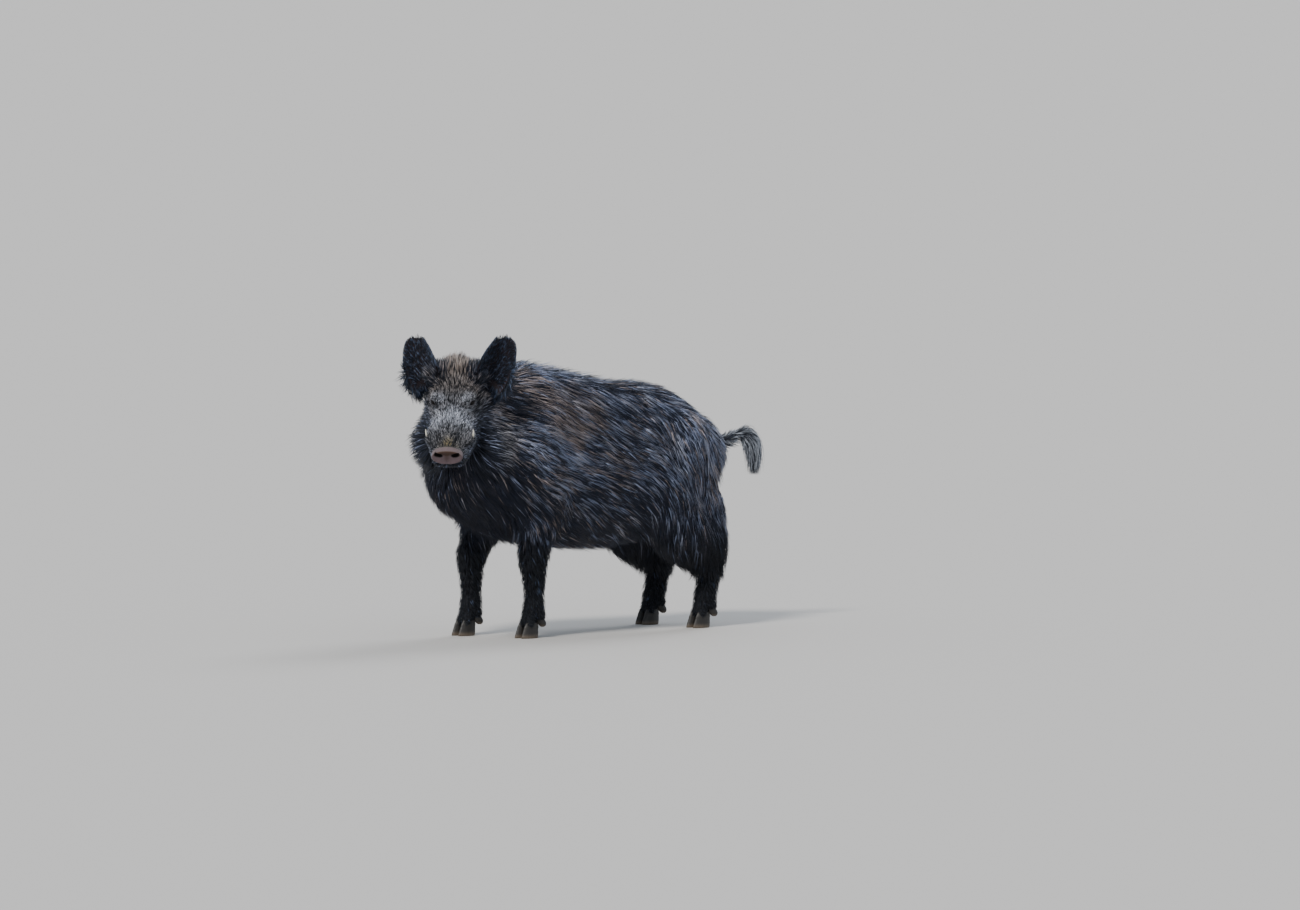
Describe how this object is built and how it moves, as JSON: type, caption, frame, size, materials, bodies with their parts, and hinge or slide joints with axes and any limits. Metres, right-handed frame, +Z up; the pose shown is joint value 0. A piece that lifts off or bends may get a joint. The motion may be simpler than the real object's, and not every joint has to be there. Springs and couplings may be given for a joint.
{
  "type": "wild boar",
  "caption": "Life-size still model of a wild boar in winter coat, standing on four hooves with its head lowered and turned to its left and its tail held out.",
  "frame": {"origin": "on the floor, under the middle of the animal's bounding box", "axes": "+Y from the head end to the tail, +X to the animal's left, +Z up"},
  "size_m": [0.488, 1.4284, 0.9074],
  "materials": {
    "coat": "coarse near-black bristle with grey-brown tips, grizzled grey on the face",
    "snout": "bare damp mauve-grey skin",
    "eye": "wet dark brown, glossy",
    "tusk": "worn ivory, satin",
    "hoof": "dark worn horn, satin"
  },
  "bodies": {
    "root": {"head": "coat", "muzzle": "coat", "lower_jaw": "coat", "snout_disc": "snout", "left_ear": "coat", "left_eye": "eye", "left_tusk": "tusk", "right_ear": "coat", "right_eye": "eye", "right_tusk": "tusk", "neck": "coat", "left_fore_arm": "coat", "left_fore_cannon": "coat", "left_fore_pastern": "coat", "left_fore_claw_outer": "hoof", "left_fore_dewclaw_outer": "hoof", "left_fore_claw_inner": "hoof", "left_fore_dewclaw_inner": "hoof", "left_hind_thigh": "coat", "left_hind_shank": "coat", "left_hind_cannon": "coat", "left_hind_pastern": "coat", "left_hind_claw_outer": "hoof", "left_hind_dewclaw_outer": "hoof", "left_hind_claw_inner": "hoof", "left_hind_dewclaw_inner": "hoof", "right_fore_arm": "coat", "right_fore_cannon": "coat", "right_fore_pastern": "coat", "right_fore_claw_outer": "hoof", "right_fore_dewclaw_outer": "hoof", "right_fore_claw_inner": "hoof", "right_fore_dewclaw_inner": "hoof", "right_hind_thigh": "coat", "right_hind_shank": "coat", "right_hind_cannon": "coat", "right_hind_pastern": "coat", "right_hind_claw_outer": "hoof", "right_hind_dewclaw_outer": "hoof", "right_hind_claw_inner": "hoof", "right_hind_dewclaw_inner": "hoof", "trunk": "coat", "tail": "coat", "tail_switch": "coat"}
  },
  "joints": []
}
